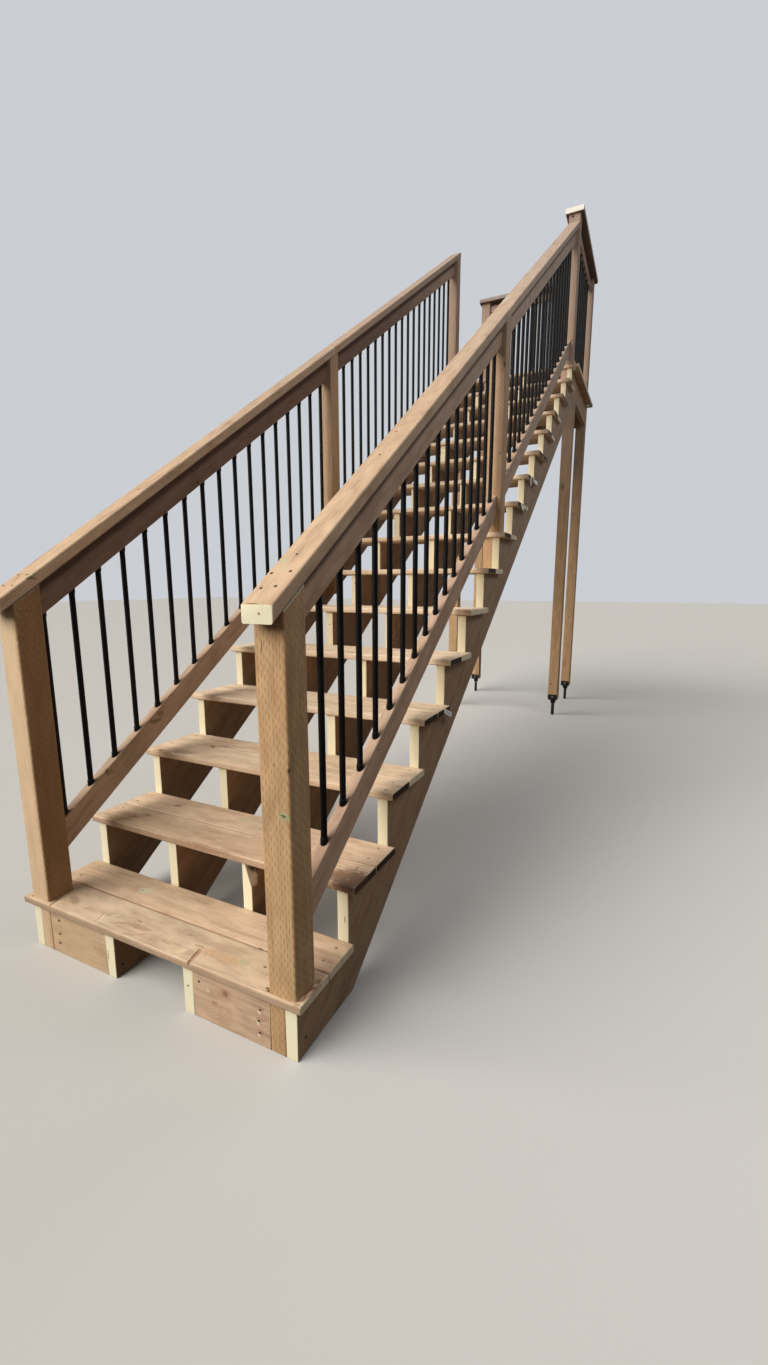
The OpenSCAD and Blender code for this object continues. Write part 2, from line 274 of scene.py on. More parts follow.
def lumber(name, early, late, red=0.3, green=0.1, grey=0.0, paler_above=0.0, high_wear_and_shade=0.0, high_cut_shade=0.0, edge_grime_and_shade=0.0,
           cap_shadow=0.0, shaded=0.0, incised=0.0, marks=()):
    """Treated lumber, from the colours of its early and late wood.

    red, green and grey are how much of the faces is stained, greenish or weathered. bleached is how
    much paler the boards above the first steps are, and faded how much they grey towards the top of the
    stair, partly with weathering and partly as painted cool shade. aged is how much darker and yellower the
    saw cuts are painted higher up, as painted shade. handled is how dark the long edges of the low boards
    are, partly grime and partly painted shade in the seams. covered is the strength of the painted shadow
    that a cap casts on the top edge of the rail under it, and shaded the strength of the painted shade on
    the underside of a flat board and the lower edge of its sides. incised is the depth in mm of the slits
    that the treatment leaves.
    marks are (place, reach, turn about the upright, colour, strength, depth in mm).
    """
    material, spot, shader = finish_of(name)
    grain, section = (spot.node("Attribute", {"attribute_name": label}, out="Vector")
                      for label in ("grain", "section"))
    tone, cut, turned = (spot.node("Attribute", {"attribute_name": label}, out="Fac")
                         for label in ("tone", "cut", "turned"))
    rough_edge = grain.noise((60, 90, 90)) - 0.5

    # Knots stand in some cells of a wide net over the face, and the grain swirls round them.
    knot_cell = 0.40
    knot_field = {"voronoi_dimensions": "2D", "feature": "F1"}
    knot_place = {"Vector": grain.stretched((0.8 / knot_cell, 1 / knot_cell, 0)), "Scale": 1.0}
    knot_kind = spot.node("TexVoronoi", knot_field, knot_place, "Color")
    no_knot = 1 - knot_kind.along("Y").rises(0.38, 0.40)
    from_knot = spot.node("TexVoronoi", knot_field, knot_place, "Distance") * knot_cell + no_knot
    knot_r = knot_kind.along("X") * 0.008 + 0.0025
    knot_away = from_knot + rough_edge * 0.006 - knot_r
    on_face = 1 - turned * 0.85
    knot = (1 - knot_away.rises(-0.002, 0.0015)) * on_face
    bark = (1 - abs(knot_away + 0.0006).rises(0.0, 0.0016)) * on_face
    knot_swirl = 1 - from_knot.rises(0.004, 0.050)

    # Growth rings stand round the pith, which lies outside most boards.
    ring_w = 0.0062
    wander = grain.noise((0.9, 5, 5)) - 0.5
    pith_away = grain.stretched((0, 1, 1)).vectors("LENGTH", out="Value")
    ring = spot.maths("FRACT", (pith_away + wander * 0.055 + knot_swirl * 0.016) / ring_w)
    late_wood = ring.rises(0.35, 0.90) * (1 - ring.rises(0.92, 1.0))
    streak = grain.noise((2.2, 38, 38), 4.0)
    fibre = grain.noise((16, 650, 650))
    mottle = grain.noise((11, 30, 30), 3.0)
    smudge = grain.noise((6, 19, 24), 4.0)
    cloud = grain.noise((1.3, 7, 7))
    check = 1 - abs(grain.noise((3.2, 75, 75), 3.0) - 0.5).rises(0.002, 0.014)
    check = check * smudge.rises(0.46, 0.60)

    face = (late_wood * 0.32 + streak.rises(0.36, 0.70) * 0.42).between(early, late)
    pale = tuple(1.30 * part for part in early)
    face = ((1 - mottle.rises(0.32, 0.56)) * 0.36).between(face, pale)
    face = (mottle.rises(0.52, 0.74) * red).between(face, red_stain)
    face = (cloud.rises(0.48, 0.76) * green).between(face, green_stain)
    face = (smudge.rises(0.54, 0.74) * 0.22).between(face, dark_stain)
    face = (check * 0.28).between(face, dark_stain)
    face = (tone.rises(0.2, 1.0) * 0.22).between(face, red_stain)
    light = 0.84 + fibre * 0.20 + cloud * 0.12 + tone * 0.07
    face = spot.node("VectorMath", {"operation": "SCALE"}, {0: face, "Scale": light}, "Vector")
    if paler_above:
        pale_wood = (1 - late_wood * 0.5) * (1 - streak.rises(0.40, 0.66) * 0.6)
        face = (spot.along("Z").rises(0.45, 0.95) * pale_wood * paler_above).between(face, paler_above_colour)
    # Greyer towards the top of the stair: partly weathering, partly painted cool shade.
    if high_wear_and_shade:
        face = (spot.along("Z").rises(0.9, 3.6) * high_wear_and_shade).between(face, high_wear_and_shade_grey)
    face = (knot_swirl * knot_swirl * 0.40).between(face, knot_halo)
    face = (knot * 0.75).between(face, knot_heart)
    face = (bark * 0.65).between(face, knot_bark)
    # Darker long edges on the low boards: partly grime, partly painted shade in the seams.
    if edge_grime_and_shade:
        dark_edge = abs(section.along("X")).rises(0.945, 0.99) * (1 - spot.along("Z").rises(0.30, 0.70))
        face = (dark_edge * edge_grime_and_shade).between(face, edge_grime_and_shade_colour)
    # Painted shadow of a cap on the top edge of the rail under it.
    if cap_shadow:
        face = (section.along("X").rises(0.15, 0.55) * cap_shadow).between(face, painted_cap_shadow)
    # Painted shade on the underside of a flat board and the lower edge of its sides.
    if shaded:
        underside = (0 - section.along("Y")).rises(0.55, 0.90)
        face = (underside * shaded).between(face, painted_underside_shade)

    # Slits stand in rows along the grain, each row a step further on than the one beside it.
    dents = 0.0
    if incised:
        slit_row = 0.0092
        slit_step = 0.027
        across = grain.along("Y") * (1 - turned) + grain.along("Z") * turned
        row = across / slit_row + rough_edge * 0.35
        step = grain.along("X") / slit_step + spot.maths("FLOOR", row) * 0.382 + rough_edge * 0.4
        beside = abs(spot.maths("FRACT", row) - 0.5)
        ahead = abs(spot.maths("FRACT", step) - 0.5)
        slit = (1 - beside.rises(0.05, 0.23)) * (1 - ahead.rises(0.15, 0.33)) * streak.rises(0.10, 0.46)
        face = (slit * 0.80).between(face, slit_brown)
        dents = slit * incised

    # Fresh cuts are pale, with the treatment only in a thin rim, and mill ends are nearly black.
    sawn = (late_wood * 0.28 + grain.noise((260, 60, 60), 1.0) * 0.16).between(fresh_sawn, fresh_ring)
    rim_across = abs(section.along("Y")).rises(0.90, 1.0)
    rim = spot.maths("MAXIMUM", rim_across, abs(section.along("X")).rises(0.97, 1.0))
    sawn = (rim * 0.28 + knot * 0.6).between(sawn, treated_rim)
    # Painted shade: saw cuts higher up are painted darker and yellower.
    if high_cut_shade:
        sawn = (spot.along("Z").rises(0.25, 1.1) * high_cut_shade).between(sawn, painted_cut_shade)
    colour = spot.maths("MAXIMUM", cut, 0.0).between(face, sawn)
    colour = spot.maths("MAXIMUM", 0.0 - cut, 0.0).between(colour, mill_end)
    colour = (cloud.rises(0.15, 0.85) * grey).between(colour, grey_film)

    for place, reach, turn, stain, strength, depth in marks:
        moved = spot
        if turn:
            moved = spot.node("VectorRotate", {"rotation_type": "Z_AXIS"},
                              {"Vector": spot, "Center": place, "Angle": -turn}, "Vector")
        moved = moved.vectors("SUBTRACT", place).vectors("DIVIDE", reach)
        away = moved.vectors("LENGTH", out="Value") + rough_edge * 0.8
        mask = 1 - away.rises(0.50, 1.05)
        colour = (mask * strength).between(colour, stain)
        if depth:
            dents = mask * depth + dents

    height = fibre * 0.26 + late_wood * 0.12 + streak * 0.30 + mottle * 0.25 + knot * 0.25
    height = height - check * 0.20 - dents
    fed(shader, {"Base Color": colour, "Roughness": 0.62 + fibre * 0.22 - knot * 0.12,
                 "Normal": height.as_bump(0.001, 1.0), "Specular IOR Level": 0.12})
    return material


step_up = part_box("tread_03")[1].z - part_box("tread_02")[1].z
step_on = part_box("tread_03")[0].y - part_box("tread_02")[0].y
pitch = math.atan2(step_up, step_on)
saw_ease = 0.0015
weld = 0.00002
flat_within = math.radians(0.3)
sharp_from = math.radians(50)
smooth_below = math.radians(40)


def pieces_apart(mesh):
    """The number of the separate piece that each point of a mesh belongs to."""
    lead = list(range(len(mesh.vertices)))

    def first(point):
        while lead[point] != point:
            lead[point] = lead[lead[point]]
            point = lead[point]
        return point

    for edge in mesh.edges:
        a, b = (first(point) for point in edge.vertices)
        lead[max(a, b)] = min(a, b)
    firsts = sorted({first(point) for point in range(len(lead))})
    return [firsts.index(first(point)) for point in range(len(lead))]


def eased(width, segments=1):
    """Bevels the sharp edges of the active piece."""
    bpy.ops.object.mode_set(mode="EDIT")
    bpy.ops.mesh.select_mode(type="EDGE")
    bpy.ops.mesh.select_all(action="DESELECT")
    bpy.ops.mesh.edges_select_sharp(sharpness=sharp_from)
    bpy.ops.mesh.bevel(offset=width, segments=segments, clamp_overlap=True)
    bpy.ops.object.mode_set(mode="OBJECT")


def smoothed_copy(node, name, ease, uneven=None, bored=None):
    """A copy of a node's mesh with whole faces and eased edges.

    uneven gives how far an end of a board that lies across the flight strays, from the middle of the
    board and the side. bored is an object whose shape is cut out.
    """
    piece = placed(name, frame["nodes"][node].data.copy())
    bpy.ops.object.select_all(action="DESELECT")
    piece.select_set(True)
    bpy.context.view_layer.objects.active = piece
    bpy.ops.mesh.customdata_custom_splitnormals_clear()
    bpy.ops.object.mode_set(mode="EDIT")
    bpy.ops.mesh.select_mode(type="VERT")
    bpy.ops.mesh.select_all(action="SELECT")
    bpy.ops.mesh.remove_doubles(threshold=weld)
    bpy.ops.mesh.dissolve_limited(angle_limit=flat_within)
    bpy.ops.object.mode_set(mode="OBJECT")

    if uneven:
        end_depth = 0.001
        board_of = pieces_apart(piece.data)
        for board in sorted(set(board_of)):
            for side in (-1, 1):
                points = [v for v, b in zip(piece.data.vertices, board_of) if b == board]
                middle_y = (min(v.co.y for v in points) + max(v.co.y for v in points)) / 2
                end = max(side * v.co.x for v in points)
                for v in piece.data.vertices:
                    v.select = board_of[v.index] == board and side * v.co.x > end - end_depth
                bpy.ops.object.mode_set(mode="EDIT")
                bpy.ops.transform.translate(value=(side * uneven(middle_y, side), 0, 0))
                bpy.ops.object.mode_set(mode="OBJECT")

    eased(ease)
    if bored:
        holes = piece.modifiers.new("holes", "BOOLEAN")
        holes.operation = "DIFFERENCE"
        holes.solver = "EXACT"
        holes.object = bored
        bpy.ops.object.modifier_apply(modifier=holes.name)
    bpy.ops.object.shade_smooth_by_angle(angle=smooth_below)
    return piece


def fixed(piece, slot, finish, *nodes):
    """Gives a piece its finish, sets it on the stair and hides the nodes that it stands for."""
    piece.data.materials.clear()
    piece.data.materials.append(finish)
    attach(piece, "root")
    for node in nodes:
        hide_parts(node)
    return piece


def dressed(node, name, slot, finish, tilt=0.0, fresh=None, uneven=None, bored=None):
    """Makes the finished lumber of a node, with each board measured along its own grain.

    tilt turns the lumber's own axes up the flight. fresh gives how pale a saw cut is, from 1 for new
    wood to -1 for a dark end, from the middle of its face.
    """
    squareness = 1.5
    cut_depth = 0.003
    piece = smoothed_copy(node, name, saw_ease, uneven, bored)
    mesh = piece.data
    axes = [Matrix.Rotation(tilt, 3, "X") @ Vector(row) for row in Matrix.Identity(3)]
    board_of = pieces_apart(mesh)
    measured = {}
    for board in sorted(set(board_of)):
        points = [v.co for v, b in zip(mesh.vertices, board_of) if b == board]
        spans = []
        for axis in axes:
            reach = [axis.dot(point) for point in points]
            spans.append((max(reach) - min(reach), (max(reach) + min(reach)) / 2, axis))
        spans.sort(key=lambda span: -span[0])
        luck = random.Random(f"{name}{board}")
        square = spans[1][0] < squareness * spans[2][0]
        pith_off = luck.choice((-1, 1)) * luck.uniform(*((0.0, 0.04) if square else (0.03, 0.09)))
        pith = (luck.uniform(-0.045, 0.045), pith_off)
        measured[board] = spans, luck.uniform(0, 60), pith, luck.uniform(-1, 1)

    def fill(label, kind, domain, field, values):
        mesh.attributes.new(label, kind, domain).data.foreach_set(field, values)

    grain, section, tone = [], [], []
    for vertex, board in zip(mesh.vertices, board_of):
        (long, wide, thick), start, pith, shade = measured[board]
        off_wide = wide[2].dot(vertex.co) - wide[1]
        off_thick = thick[2].dot(vertex.co) - thick[1]
        grain += [long[2].dot(vertex.co) + start, off_wide + pith[0], off_thick + pith[1]]
        section += [2 * off_wide / wide[0], 2 * off_thick / thick[0], 0.0]
        tone.append(shade)
    fill("grain", "FLOAT_VECTOR", "POINT", "vector", grain)
    fill("section", "FLOAT_VECTOR", "POINT", "vector", section)
    fill("tone", "FLOAT", "POINT", "value", tone)

    # A face is a saw cut if it looks along the grain or lies well inside the board's own section.
    # The eased edge round a dark end is painted pale, as a painted rim highlight.
    cut, turned = [], []
    for face in mesh.polygons:
        long, wide, thick = measured[board_of[face.vertices[0]]][0]
        in_wide = wide[0] / 2 - abs(wide[2].dot(face.center) - wide[1])
        in_thick = thick[0] / 2 - abs(thick[2].dot(face.center) - thick[1])
        endwise = abs(face.normal.dot(long[2]))
        sawn = endwise > 0.5 or min(in_wide, in_thick) > cut_depth
        paleness = (fresh(face.center) if fresh else 1.0) if sawn else 0.0
        cut.append(0.45 if paleness < 0 and endwise < 0.9 else paleness)
        turned.append(float(abs(face.normal.dot(wide[2])) > abs(face.normal.dot(thick[2]))))
    fill("cut", "FLOAT", "FACE", "value", cut)
    fill("turned", "FLOAT", "FACE", "value", turned)
    return fixed(piece, slot, finish, node)


# Nail heads and runs of stain, and on the torn corner pale wood with a painted highlight below and the
# painted shadow of the tread above, each as lumber takes its marks.
black_dot = (0.015, 0.009, 0.007)
stain_run = (0.34, 0.20, 0.10)
nail_stain = (0.12, 0.06, 0.03)
stringer_marks = (
    ((0.553, -2.5538, 0.046), (0.005, 0.005, 0.007), 0, black_dot, 0.95, 1.5),
    ((-0.149, -2.5668, 0.036), (0.005, 0.005, 0.006), 0, black_dot, 0.9, 1.5),
    ((0.167, -2.5908, 0.09), (0.005, 0.004, 0.005), 0, (0.1, 0.05, 0.025), 0.9, 0.6),
    ((-0.18, -2.5908, 0.074), (0.003, 0.004, 0.024), 0, stain_run, 0.7, 0.5),
    ((0.541, -2.3208, 0.25), (0.003, 0.004, 0.016), 0, stain_run, 0.7, 0.5),
    ((-0.167, -1.2408, 1.045), (0.004, 0.004, 0.004), 0, nail_stain, 0.9, 0.5),
    ((-0.167, -0.9708, 1.253), (0.004, 0.004, 0.004), 0, nail_stain, 0.9, 0.5),
    # The torn corner: pale torn wood brightened by a painted highlight, then the painted shadow of the tread
    # above.
    ((0.178, -2.302, 0.28), (0.034, 0.019, 0.03), 0, (1, 0.86, 0.74), 0.95, 0),
    ((0.182, -2.3, 0.334), (0.038, 0.021, 0.03), 0, (0.03, 0.016, 0.01), 0.95, 0),
)
stringer_wood = lumber("stringer_wood", (0.42, 0.285, 0.185), (0.34, 0.215, 0.135), red=0.30,
                       green=0.20, high_cut_shade=0.28, marks=stringer_marks)

# The top corner of the second riser cut on the inner right stringer tore out on the saw's last stroke.
torn_corner = Vector((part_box("stringer_inner_right")[1].x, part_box("stringer_inner_right")[0].y + step_on,
                      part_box("tread_02")[0].z))
torn_side = torn_corner + Vector((-0.026, 0, 0))
torn_foot = torn_corner + Vector((0, 0, -0.087))
torn_back = torn_corner + Vector((0, 0.0228, -0.064))
torn_top = torn_corner + Vector((0, 0.0248, 0))
torn_shape = started(bpy.ops.mesh.primitive_cube_add, size=1, scale=(0.06, 0.06, 0.10),
                     location=torn_corner + Vector((-0.012, 0, -0.042)))
torn_shape.name = "torn_corner_holes"
bpy.ops.object.mode_set(mode="EDIT")
for second, third in ((torn_foot, torn_back), (torn_back, torn_top)):
    torn_way = (second - torn_side).cross(third - torn_side).normalized()
    bpy.ops.mesh.select_all(action="SELECT")
    bpy.ops.mesh.bisect(plane_co=torn_side, plane_no=torn_way, use_fill=True, clear_inner=True)
bpy.ops.object.mode_set(mode="OBJECT")


def torn_fresh(place):
    """How fresh a cut is: the torn wood is duller than the sawn wood round it."""
    near = (place - torn_corner).length < 0.075 and place.y > torn_corner.y + 0.001
    return 0.55 if near else 1.0


for place in ("outer_left", "inner_left", "inner_right", "outer_right"):
    has_torn = place == "inner_right"
    dressed("stringer_" + place, "stringer_board_" + place, "stringer_board", stringer_wood, tilt=pitch,
            fresh=torn_fresh if has_torn else None, bored=torn_shape if has_torn else None)


# Landing frame: rims and joists of the same boards, nailed square to each other under the deck.
# They were cut in the open, so their ends are pale as well.
for place in ("front_rim", "back_rim", "side_rims", "joists"):
    dressed("landing_" + place, "landing_frame_" + place, "stringer_board", stringer_wood)


# Deck screws: tan coated bugle heads with a recess for the driver, driven just under the face of the
# wood. Each head sits in its own hole, and the fibres round the hole stand up as a torn rim.
coat_wear = (900, 900, 900)
screw_coat = speckled("screw_coat", coat_wear, (0.40, 0.265, 0.15), (0.25, 0.155, 0.085), 0.45, 0.15)
torn_wood = speckled("torn_wood", (220, 220, 90), (0.80, 0.66, 0.43), (0.42, 0.26, 0.13), 0.75, detail=3.0)

screw_r = 0.0041
head_t = 0.0016
head_z = -0.0014
recess_edge = 0.0022
recess_d = 0.0010
hole_r = 0.0048
hole_d = 0.0030
hole_over = 0.0003
rim_r = 0.0053
screw_model = started(bpy.ops.mesh.primitive_cylinder_add, vertices=12, radius=screw_r, depth=head_t,
                      location=(0, 0, head_z))
bpy.ops.object.mode_set(mode="EDIT")
bpy.ops.mesh.select_mode(type="FACE")
bpy.ops.mesh.select_all(action="DESELECT")
bpy.ops.object.mode_set(mode="OBJECT")
for face in screw_model.data.polygons:
    face.select = face.normal.z > 0.9
bpy.ops.object.mode_set(mode="EDIT")
bpy.ops.mesh.inset(thickness=recess_edge)
bpy.ops.mesh.extrude_region_move(TRANSFORM_OT_translate={"value": (0, 0, -recess_d)})
bpy.ops.object.mode_set(mode="OBJECT")
torn_rim = started(bpy.ops.mesh.primitive_torus_add, major_segments=10, minor_segments=4,
                   major_radius=rim_r, minor_radius=0.0008)
bpy.ops.transform.resize(value=(1, 1, 0.5))
bpy.ops.object.transform_apply(scale=True)
for model in (screw_model, torn_rim):
    model.data.materials.append(screw_coat)
    model.data.materials.append(torn_wood)
for face in torn_rim.data.polygons:
    face.material_index = 1
joined([screw_model, torn_rim])

hole_model = started(bpy.ops.mesh.primitive_cone_add, vertices=12, radius1=screw_r, radius2=hole_r,
                     depth=hole_d, location=(0, 0, -hole_d / 2 + hole_over))


def facing(way):
    """The turn that points the top of a piece along a way."""
    return Vector(way).to_track_quat("Z", "Y").to_matrix().to_4x4()


def copied_to(model, name, places):
    """One joined mesh with a copy of a small model at each place, turned to face out of the wood."""
    luck = random.Random(name)
    copies = []
    for spot, outward in places:
        copy = placed(name, model.data.copy())
        twist = Matrix.Rotation(luck.uniform(0, 6), 4, "Z")
        copy.data.transform(Matrix.Translation(spot) @ facing(outward) @ twist)
        copies.append(copy)
    return joined(copies)


def screwed(name, places, coating=screw_coat):
    """Drives screws at the places and returns the shape of their holes, to be cut and then removed."""
    heads = copied_to(screw_model, name, places)
    heads.data.materials[0] = coating
    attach(heads, "root")
    return copied_to(hole_model, name + "_holes", places)


# Treads: two boards with rounded edges on each step, screwed down to the outer stringers.
# Most front boards keep the dark end of the mill; the back boards were cut to length and show pale.
scar = (0.20, 0.095, 0.050)
scar_bed = (0.42, 0.23, 0.125)
scrape = (0.84, 0.70, 0.52)
scratch = (0.46, 0.21, 0.12)
dull_scratch = (0.46, 0.23, 0.14)
shadow_streak = (0.27, 0.145, 0.085)
# Scars with scrapes beside them, scratches, stains and painted shadow streaks. Each lies on the top of its
# tread.
marks_by_tread = {
    1: (
        ((0.183, -2.572), (0.0095, 0.05, 0.012), 0.19, scar_bed, 0.6, 0.7),
        ((0.179, -2.574), (0.003, 0.048, 0.012), 0.19, scar, 0.75, 0.6),
        ((0.187, -2.6), (0.006, 0.014, 0.012), 0.19, scar, 0.6, 0.4),
        ((0.196, -2.566), (0.004, 0.036, 0.012), 0.1, scrape, 0.5, 0),
        ((0.212, -2.55), (0.003, 0.016, 0.012), 0.3, scrape, 0.6, 0.2),
        ((0.16, -2.533), (0.02, 0.0035, 0.012), 0.1, scar, 0.45, 0.3),
        ((-0.45, -2.574), (0.0075, 0.044, 0.012), 0.26, scar_bed, 0.55, 0.7),
        ((-0.454, -2.575), (0.0028, 0.042, 0.012), 0.26, scar, 0.7, 0.6),
        ((-0.438, -2.57), (0.0035, 0.034, 0.012), 0.2, scrape, 0.45, 0),
        ((-0.2, -2.545), (0.0035, 0.03, 0.012), -0.5, scrape, 0.6, 0.2),
        ((-0.15, -2.56), (0.03, 0.006, 0.012), 0.5, (0.36, 0.2, 0.12), 0.45, 0),
        ((0.06, -2.565), (0.026, 0.003, 0.012), -0.1, scar, 0.4, 0.2),
        ((0.1, -2.59), (0.022, 0.008, 0.012), 0.1, scrape, 0.45, 0),
        ((-0.2315, -2.3948), (0.036, 0.022, 0.01), 0.2, (0.66, 0.66, 0.47), 0.75, 0),
        ((-0.227, -2.5722), (0.028, 0.0045, 0.01), -1.26, scrape, 0.75, 0.2),
        ((-0.234, -2.57), (0.03, 0.003, 0.01), -1.26, dull_scratch, 0.55, 0.2),
        ((-0.319, -2.5542), (0.016, 0.003, 0.01), 0.82, scratch, 0.65, 0.2),
        ((-0.156, -2.5088), (0.012, 0.003, 0.01), 0.93, scratch, 0.65, 0.2),
        ((-0.04, -2.5732), (0.016, 0.0035, 0.01), 0.82, scratch, 0.65, 0.2),
        ((-0.101, -2.5272), (0.02, 0.004, 0.01), -0.15, (0.36, 0.2, 0.13), 0.6, 0.2),
        ((0.129, -2.5747), (0.02, 0.012, 0.01), 0.53, (0.92, 0.74, 0.5), 0.6, 0),
        ((-0.075, -2.5877), (0.026, 0.0035, 0.01), 0.14, dull_scratch, 0.55, 0.2),
        ((-0.332, -2.4642), (0.008, 0.005, 0.01), 0.07, (0.9, 0.76, 0.55), 0.8, 0),
        ((0.097, -2.5077), (0.015, 0.007, 0.01), 0.27, (0.3, 0.2, 0.17), 0.45, 0),
        ((-0.243, -2.3968), (0.007, 0.004, 0.01), 0.3, dark_stain, 0.55, 0.3),
        ((0.134, -2.5518), (0.034, 0.014, 0.01), 0.3, scrape, 0.35, 0),
        ((-0.4, -2.5418), (0.04, 0.017, 0.01), -0.3, shadow_streak, 0.5, 0),
        ((-0.08, -2.55), (0.06, 0.012, 0.01), 0.05, shadow_streak, 0.4, 0),
        ((0.33, -2.53), (0.022, 0.018, 0.01), 0, (0.52, 0.5, 0.3), 0.6, 0),
        ((0.25, -2.54), (0.1, 0.022, 0.01), 0, (0.62, 0.38, 0.21), 0.5, 0),
        ((0.09, -2.39), (0.18, 0.016, 0.01), 0, scrape, 0.15, 0),
        ((0.24, -2.43), (0.12, 0.01, 0.01), 0, (0.46, 0.28, 0.165), 0.4, 0),
        ((0.561, -2.54), (0.015, 0.066, 0.012), -0.06, (0.32, 0.14, 0.07), 0.85, 0.8),
        ((0.565, -2.55), (0.004, 0.02, 0.01), -0.1, scrape, 0.8, 0.2),
        ((0.562, -2.515), (0.005, 0.01, 0.01), -0.3, scrape, 0.75, 0.2),
        ((0.557, -2.568), (0.003, 0.012, 0.01), -0.1, scrape, 0.65, 0.2),
    ),
    2: (
        ((0.545, -2.295), (0.095, 0.068, 0.06), 0, (0.115, 0.05, 0.03), 0.78, 0),
        ((0.52, -2.262), (0.016, 0.012, 0.01), 0, (0.5, 0.32, 0.22), 0.45, 0),
        ((0, -2.27), (0.7, 0.08, 0.03), 0, (0.44, 0.25, 0.145), 0.34, 0),
        ((-0.47, -2.29), (0.07, 0.06, 0.03), 0.1, (0.34, 0.18, 0.105), 0.4, 0),
        ((-0.418, -2.27), (0.03, 0.01, 0.02), 0.2, (0.2, 0.12, 0.075), 0.5, 0.2),
        ((-0.385, -2.235), (0.026, 0.008, 0.02), -0.1, (0.24, 0.16, 0.09), 0.45, 0),
        ((-0.35, -2.12), (0.022, 0.012, 0.01), 0.2, (0.13, 0.1, 0.055), 0.55, 0.3),
        ((-0.02, -2.1), (0.03, 0.012, 0.01), 0.1, (0.52, 0.53, 0.32), 0.45, 0),
        ((0.02, -2.33), (0.12, 0.01, 0.02), 0, (0.26, 0.13, 0.075), 0.45, 0.3),
    ),
    3: (
        ((-0.4, -2.03), (0.06, 0.03, 0.03), 0.1, (0.3, 0.25, 0.15), 0.45, 0),
        ((-0.3, -1.89), (0.04, 0.012, 0.02), 0, (0.2, 0.11, 0.065), 0.45, 0),
    ),
    4: (
        ((-0.42, -1.64), (0.035, 0.012, 0.02), 0.3, (0.34, 0.17, 0.1), 0.5, 0.3),
    ),
}
tread_marks = [((*spot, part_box(f"tread_{step:02d}")[1].z), *rest)
               for step, marks in marks_by_tread.items() for spot, *rest in marks]
tread_wood = lumber("tread_wood", (0.79, 0.61, 0.435), (0.59, 0.405, 0.262), red=0.26, green=0.24,
                    paler_above=0.62, high_wear_and_shade=0.30, edge_grime_and_shade=0.45, marks=tread_marks)

# Treads whose right ends are pale in front or dark at the back, and the ends known to be out of line.
fresh_fronts = {1, 6}
dark_backs = {2, 4, 11, 14}
known_strays = {(1, "front"): -0.0075, (2, "front"): -0.0035, (2, "back"): 0.0035}


def middle_of(node):
    """The middle of a node's box."""
    low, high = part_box(node)
    return (low + high) / 2


def tread_stray(step):
    """How far the ends of the boards of a tread stray from their line."""
    gap_y = middle_of(f"tread_{step:02d}").y

    def stray(board_y, side):
        row = "back" if board_y > gap_y else "front"
        if side > 0 and (step, row) in known_strays:
            return known_strays[step, row]
        return random.Random(f"end {step} {row} {side}").uniform(-0.004, 0.0016)

    return stray


def tread_end(step):
    """How fresh the ends of the boards of a tread are."""
    gap_y = middle_of(f"tread_{step:02d}").y

    def fresh(place):
        if abs(place.x) < 0.5:
            return 0.7
        if place.x < 0:
            return 0.6
        dark = step in dark_backs if place.y > gap_y else step not in fresh_fronts
        return -0.95 if dark else 0.42 if step == 1 else 0.55

    return fresh


carriers = [middle_of("stringer_" + place).x for place in ("outer_left", "outer_right")]
screw_edge = 0.035


def screw_rows(label, rows, columns, top):
    """Places of screws where boards cross what carries them, a little off their marks as driven by hand."""
    luck = random.Random(label)
    places = []
    for y in rows:
        for x in columns:
            spot = Vector((x + luck.uniform(-0.006, 0.006), y + luck.uniform(-0.005, 0.005), top))
            places.append((spot, (0, 0, 1)))
    return places


def clear_of_posts(places, *posts):
    """Only the places that no post stands in."""
    margin = 0.010
    clear = []
    for spot, outward in places:
        taken = False
        for post in posts:
            low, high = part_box(post)
            side = high.x - (high.y - low.y)
            taken |= low.y - margin < spot.y < high.y + margin and abs(spot.x) > side - margin
        if not taken:
            clear.append((spot, outward))
    return clear


known_screws = ((0.453, -2.5818), (0.395, -2.5188), (0.329, -2.4645))
tread_holes = {}
for step in range(1, 16):
    low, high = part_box(f"tread_{step:02d}")
    board = (high.y - low.y) / 2
    rows = [low.y + screw_edge, low.y + board - screw_edge, high.y - board + screw_edge, high.y - screw_edge]
    places = screw_rows(f"tread {step}", rows, carriers, high.z)
    places = clear_of_posts(places, "bottom_posts", "middle_posts")
    if step == 1:
        places += [(Vector((x, y, high.z)), (0, 0, 1)) for x, y in known_screws]
    tread_holes[step] = screwed(f"tread_screws_{step:02d}", places)
    dressed(f"tread_{step:02d}", f"tread_boards_{step:02d}", "tread_board", tread_wood,
            fresh=tread_end(step), uneven=tread_stray(step), bored=tread_holes[step])

# The front edge of the second tread is splintered near its right end: pale fibres stand out of it.
low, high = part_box("tread_02")
splinter_w = 0.005
splinter_t = 0.003
for number, (x, length) in enumerate(((0.500, 0.016), (0.516, 0.026), (0.538, 0.020), (0.556, 0.030))):
    root = Vector((x, low.y + 0.004, low.z + 0.006))
    reach = Vector((x + length, low.y - 0.002, low.z - 0.001)) - root
    splinter = started(bpy.ops.mesh.primitive_cone_add, vertices=5, radius1=0.5, radius2=0.06, depth=1.0,
                       location=(0, 0, 0.5))
    splinter.name = f"tread_splinter_{number + 1}"
    size = Matrix.Diagonal((splinter_w, splinter_t, reach.length, 1))
    splinter.data.transform(Matrix.Translation(root) @ facing(reach) @ size)
    fixed(splinter, "stringer_board", torn_wood)

